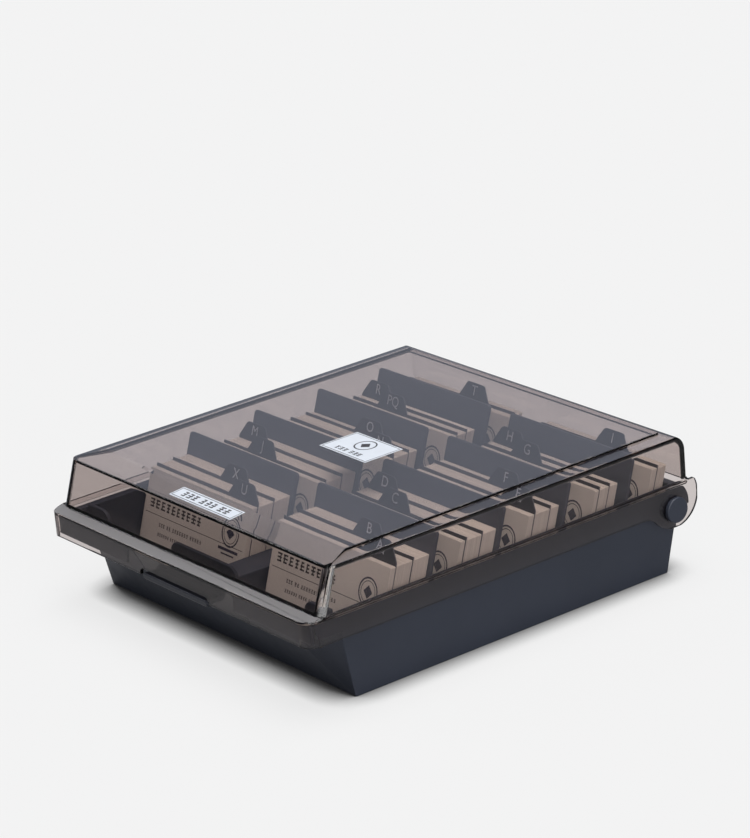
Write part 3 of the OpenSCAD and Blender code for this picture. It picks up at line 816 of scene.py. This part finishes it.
def bar_sheet(name, bars, rise, rings=()):
    """Flat print lying on the XY plane: bars as (x, y, width, height), rings as
    (x, y, radius, line, sides), where no line means a filled form."""
    deselect()
    bpy.ops.mesh.primitive_plane_add(size=1.0)
    piece = bpy.context.object
    piece.name = piece.data.name = name
    edit(piece)
    bpy.ops.mesh.select_all(action="SELECT")
    bpy.ops.mesh.delete(type="VERT")
    for x, y, wide, tall in bars:
        bpy.ops.mesh.primitive_plane_add(size=1.0, location=(x, y, 0))
        bpy.ops.transform.resize(value=(wide, tall, 1.0), center_override=(x, y, 0))
    for x, y, radius, line, sides in rings:
        bpy.ops.mesh.primitive_circle_add(
            vertices=sides, radius=radius, fill_type="NGON", location=(x, y, 0)
        )
        if line:
            bpy.ops.mesh.inset(thickness=line)
            bpy.ops.mesh.delete(type="FACE")
    bpy.ops.mesh.select_all(action="SELECT")
    bpy.ops.mesh.extrude_region_move(TRANSFORM_OT_translate={"value": (0, 0, rise)})
    bpy.ops.mesh.select_all(action="SELECT")
    bpy.ops.mesh.normals_make_consistent(inside=False)
    done()
    return piece


def frame_bars(wide, tall, line):
    """Four bars round a rectangle that is centred on the origin."""
    x, y = (wide - line) / 2, (tall - line) / 2
    return [(0, y, wide, line), (0, -y, wide, line)] + [
        (s * x, 0, line, tall - 2 * line) for s in (-1, 1)
    ]


def word_bars(x, y, tall, words, chance):
    """Rows of short strokes that stand in for words, from x to the right."""
    bars = []
    stroke = tall / 5
    for count in words:
        for _ in range(count):
            wide = tall * chance.uniform(0.72, 0.92)
            for k in (-1, 0, 1):
                share = chance.uniform(0.6, 1.0)
                bars.append((x + wide / 2, y + k * tall * 0.4, wide * share, stroke))
            bars.append((x + wide * chance.choice((0.3, 0.5, 0.7)), y, stroke, tall * 0.98))
            x += wide + tall * 0.2
        x += tall * 0.55
    return bars


class CARDBOX_OT_print(bpy.types.Operator):
    """Puts plain generic print on the front card of each compartment"""

    bl_idname = "cardbox.print"
    bl_label = "Print on the cards"

    def execute(self, context):
        sizes, colours = context.scene.card_box_sizes, context.scene.card_box_colours
        chance = random.Random(PRINT_SEED)
        bars = word_bars(-40 * MM, 37.5 * MM, 4.6 * MM, (10,), chance)
        bars += [(0, 32.0 * MM, 86 * MM, 0.35 * MM)]
        bars += word_bars(-30 * MM, 27.5 * MM, 2.0 * MM, (3, 2, 7, 5), chance)
        bars += word_bars(-30 * MM, 22.5 * MM, 1.7 * MM, (6, 4, 3), chance)
        rows = bar_sheet("print_rows", bars, sizes.print_rise)
        rings = [
            (*MARK_SPOT, 7.4 * MM, 0.9 * MM, RING_SIDES),
            (*MARK_SPOT, 5.6 * MM, 0.4 * MM, RING_SIDES),
            (*MARK_SPOT, 3.4 * MM, 0, DIAMOND_SIDES),
        ]
        x = MARK_SPOT[0]
        base = [(x, 29.6 * MM, 17 * MM, 1.5 * MM), (x, 27.2 * MM, 11 * MM, 0.8 * MM)]
        mark = bar_sheet("print_mark", base, sizes.print_rise, rings)
        rows.data.materials.append(printed("row_ink", colours.ink, colours.card))
        mark.data.materials.append(printed("mark_ink", colours.seal, colours.card))
        out = Vector((0.0, -math.cos(sizes.lean), math.sin(sizes.lean)))
        for node in (n for n in named("cards_") if n[-1] == "a"):
            low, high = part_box(node)
            foot = Vector(((low.x + high.x) / 2, low.y, low.z)) - out * sizes.print_rise / 2
            for source, part in ((rows, "rows"), (mark, "mark")):
                piece = copy_piece(source, f"print_{part}_{node[6:8]}")
                piece.rotation_euler = (math.pi / 2 - sizes.lean, 0, 0)
                piece.location = foot
                settle(apply_place(piece), "tray", "card_stock")
        for source in (rows, mark):
            pick(source)
            bpy.ops.object.delete()
        return {"FINISHED"}


class CARDBOX_OT_labels(bpy.types.Operator):
    """Gives the two labels on the lid their white film, a thin frame and plain marks"""

    bl_idname = "cardbox.labels"
    bl_label = "Labels"

    def execute(self, context):
        sizes, colours = context.scene.card_box_sizes, context.scene.card_box_colours
        film = copy_of("lid_labels", "label_films")
        film.data.materials.append(label_film(colours.label))
        pick(film)
        bpy.ops.object.shade_smooth_by_angle(angle=LABEL_SMOOTH_ANGLE)
        settle(film, "lid", "label_film", "lid_labels")
        ink = printed("label_ink", colours.ink, colours.label, 0.15)
        chance = random.Random(LABEL_SEED)
        low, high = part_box("lid_labels")
        split = (low.y + high.y) / 2 - LABEL_SPLIT
        points = [v.co.copy() for v in film.data.vertices]
        for name, group in (
            ("label_marks_front", [p for p in points if p.y < split]),
            ("label_marks_top", [p for p in points if p.y >= split]),
        ):
            wide = max(p.x for p in group) - min(p.x for p in group)
            near = max(group, key=lambda p: (-round(p.y, 5), p.z))
            far = max(group, key=lambda p: (round(p.z, 5), p.y))
            tilt = math.atan2(far.z - near.z, far.y - near.y)
            deep = (Vector((0, far.y, far.z)) - Vector((0, near.y, near.z))).length
            bars = frame_bars(wide - LABEL_MARGIN, deep - LABEL_MARGIN, LABEL_LINE)
            rings = []
            if name.endswith("front"):
                bars += word_bars(-20 * MM, 0, 4.4 * MM, (3, 3, 2), chance)
            else:
                rings = [
                    (0, 3 * MM, 6.2 * MM, 0.8 * MM, RING_SIDES),
                    (0, 3 * MM, 3.2 * MM, 0, DIAMOND_SIDES),
                ]
                bars += word_bars(-11 * MM, -7.4 * MM, 3.2 * MM, (3, 3), chance)
            marks = bar_sheet(name, bars, sizes.print_rise, rings)
            marks.data.materials.append(ink)
            marks.rotation_euler = (tilt, 0, 0)
            middle = (near + far) / 2
            marks.location = (0, middle.y, middle.z - sizes.print_rise / 2)
            settle(apply_place(marks), "lid", "label_film")
        return {"FINISHED"}


class CARDBOX_OT_stage(bpy.types.Operator):
    """Sets the floor, the soft light and the camera"""

    bl_idname = "cardbox.stage"
    bl_label = "Stage"

    def execute(self, context):
        stage = context.scene.card_box_stage
        deselect()
        bpy.ops.mesh.primitive_plane_add(size=FLOOR_SIZE, location=(0, 0, -FLOOR_DROP))
        floor = bpy.context.object
        floor.name = "floor"
        floor.data.materials.append(self.floor_finish(stage))
        self.sky(context.scene, stage)
        self.camera(context.scene, stage)
        context.scene.view_settings.view_transform = "Standard"
        return {"FINISHED"}

    def floor_finish(self, stage):
        """White where it is seen, with the box's shadow, and dimmer where light falls back."""
        f = Finish("pale_floor")
        seen = f.nodes.new("ShaderNodeBsdfDiffuse")
        seen.inputs["Color"].default_value = (*stage.floor, 1.0)
        close = f.nodes.new("ShaderNodeAmbientOcclusion")
        close.inputs["Distance"].default_value = stage.shadow_reach
        glow = f.nodes.new("ShaderNodeEmission")
        f.links.new(
            f.spread(close.outputs["AO"], 0.0, stage.floor_glow, CLOSE_DARK, CLOSE_CLEAR),
            glow.inputs["Strength"],
        )
        both = f.nodes.new("ShaderNodeAddShader")
        f.links.new(seen.outputs[0], both.inputs[0])
        f.links.new(glow.outputs[0], both.inputs[1])
        bounce = f.nodes.new("ShaderNodeBsdfDiffuse")
        bounce.inputs["Color"].default_value = (*stage.floor_bounce, 1.0)
        path = f.nodes.new("ShaderNodeLightPath")
        shown = path.outputs["Is Camera Ray"]
        mirrored = f.spread(path.outputs["Glossy Depth"], 1.0, stage.floor_gloss, 0.0, 1.0)
        for ray in ("Is Transmission Ray", "Is Glossy Ray"):
            share = math_node(f.tree, "MULTIPLY", path.outputs[ray], mirrored)
            shown = math_node(f.tree, "MAXIMUM", shown, share)
        mix = f.nodes.new("ShaderNodeMixShader")
        f.links.new(shown, mix.inputs[0])
        f.links.new(bounce.outputs[0], mix.inputs[1])
        f.links.new(both.outputs[0], mix.inputs[2])
        f.links.new(mix.outputs[0], f.output.inputs["Surface"])
        return f.material

    def sky(self, scene, stage):
        """Soft round lights, each full within its first angle and gone at its second."""
        scene.world = scene.world or bpy.data.worlds.new("studio")
        scene.world.use_nodes = True
        tree = scene.world.node_tree
        nodes, links = tree.nodes, tree.links
        look = nodes.new("ShaderNodeTexCoord").outputs["Generated"]
        path = nodes.new("ShaderNodeLightPath")
        straight = math_node(tree, "LESS_THAN", path.outputs["Diffuse Depth"], 0.5)
        piped = math_node(tree, "MULTIPLY", straight, path.outputs["Is Transmission Ray"])
        kept = nodes.new("ShaderNodeMapRange")
        kept.inputs["To Min"].default_value = 1.0
        kept.inputs["To Max"].default_value = stage.edge_glow
        links.new(piped, kept.inputs["Value"])
        total = None
        for towards, inner, outer, tone in (
            ((0.0, 0.08, 1.0), 6.0, 34.0, (stage.top_light,) * 3),
            ((0.87, -0.35, 0.35), 15.0, 48.0, (stage.side_light,) * 3),
            ((-0.758, 0.554, 0.345), 9.0, 15.0, stage.back_light),
            ((-0.154, 0.554, 0.823), 3.0, 8.0, (stage.edge_light,) * 3),
            ((-0.758, -0.243, 0.605), 3.0, 8.0, (stage.edge_light * SECOND_EDGE_SHARE,) * 3),
        ):
            dot = nodes.new("ShaderNodeVectorMath")
            dot.operation = "DOT_PRODUCT"
            links.new(look, dot.inputs[0])
            dot.inputs[1].default_value = Vector(towards).normalized()
            lobe = nodes.new("ShaderNodeMapRange")
            lobe.interpolation_type = "SMOOTHSTEP"
            lobe.inputs["From Min"].default_value = math.cos(math.radians(outer))
            lobe.inputs["From Max"].default_value = math.cos(math.radians(inner))
            links.new(dot.outputs["Value"], lobe.inputs["Value"])
            share = math_node(tree, "MULTIPLY", lobe.outputs["Result"], kept.outputs["Result"])
            add = nodes.new("ShaderNodeVectorMath")
            add.operation = "MULTIPLY_ADD"
            add.inputs[1].default_value = tone
            add.inputs[2].default_value = stage.sky
            links.new(share, add.inputs[0])
            if total:
                links.new(total, add.inputs[2])
            total = add.outputs["Vector"]
        links.new(total, nodes["Background"].inputs["Color"])

    def camera(self, scene, stage):
        a, e = stage.azimuth, stage.elevation
        back = Vector((math.sin(a) * math.cos(e), -math.cos(a) * math.cos(e), math.sin(e)))
        flat = Vector((math.cos(a), math.sin(a), 0.0))
        rise = back.cross(flat)
        c, s = math.cos(stage.roll), math.sin(stage.roll)
        right, up = c * flat + s * rise, c * rise - s * flat
        turn = Matrix((right, up, back)).transposed()
        deselect()
        bpy.ops.object.camera_add()
        camera = bpy.context.object
        camera.matrix_world = (
            Matrix.Translation(Vector(stage.aim) + turn @ Vector(stage.offset)) @ turn.to_4x4()
        )
        camera.data.lens = stage.lens
        scene.camera = camera


class CARDBOX_PT_panel(bpy.types.Panel):
    """Lists the box's sizes, colours and pieces"""

    bl_idname = "CARDBOX_PT_panel"
    bl_label = "Card Box"
    bl_space_type = "VIEW_3D"
    bl_region_type = "UI"
    bl_category = "Card Box"

    def draw(self, context):
        column = self.layout.column()
        for group in ("card_box_sizes", "card_box_colours", "card_box_stage"):
            settings = getattr(context.scene, group)
            for name in settings.__annotations__:
                column.prop(settings, name)
        for step in STEPS:
            column.operator(step.bl_idname)


STEPS = (
    CARDBOX_OT_tray,
    CARDBOX_OT_lid,
    CARDBOX_OT_pins,
    CARDBOX_OT_dividers,
    CARDBOX_OT_guides,
    CARDBOX_OT_cards,
    CARDBOX_OT_print,
    CARDBOX_OT_labels,
    CARDBOX_OT_stage,
)
GROUPS = {
    "card_box_sizes": CardBoxSizes,
    "card_box_colours": CardBoxColours,
    "card_box_stage": CardBoxStage,
}


def register():
    for cls in (*GROUPS.values(), *STEPS, CARDBOX_PT_panel):
        bpy.utils.register_class(cls)
    for name, group in GROUPS.items():
        setattr(bpy.types.Scene, name, PointerProperty(type=group))


def unregister():
    for name in GROUPS:
        delattr(bpy.types.Scene, name)
    for cls in reversed((*GROUPS.values(), *STEPS, CARDBOX_PT_panel)):
        bpy.utils.unregister_class(cls)


def main():
    register()
    for step in STEPS:
        group, call = step.bl_idname.split(".")
        getattr(getattr(bpy.ops, group), call)()
    deselect()


if __name__ == "__main__":
    main()
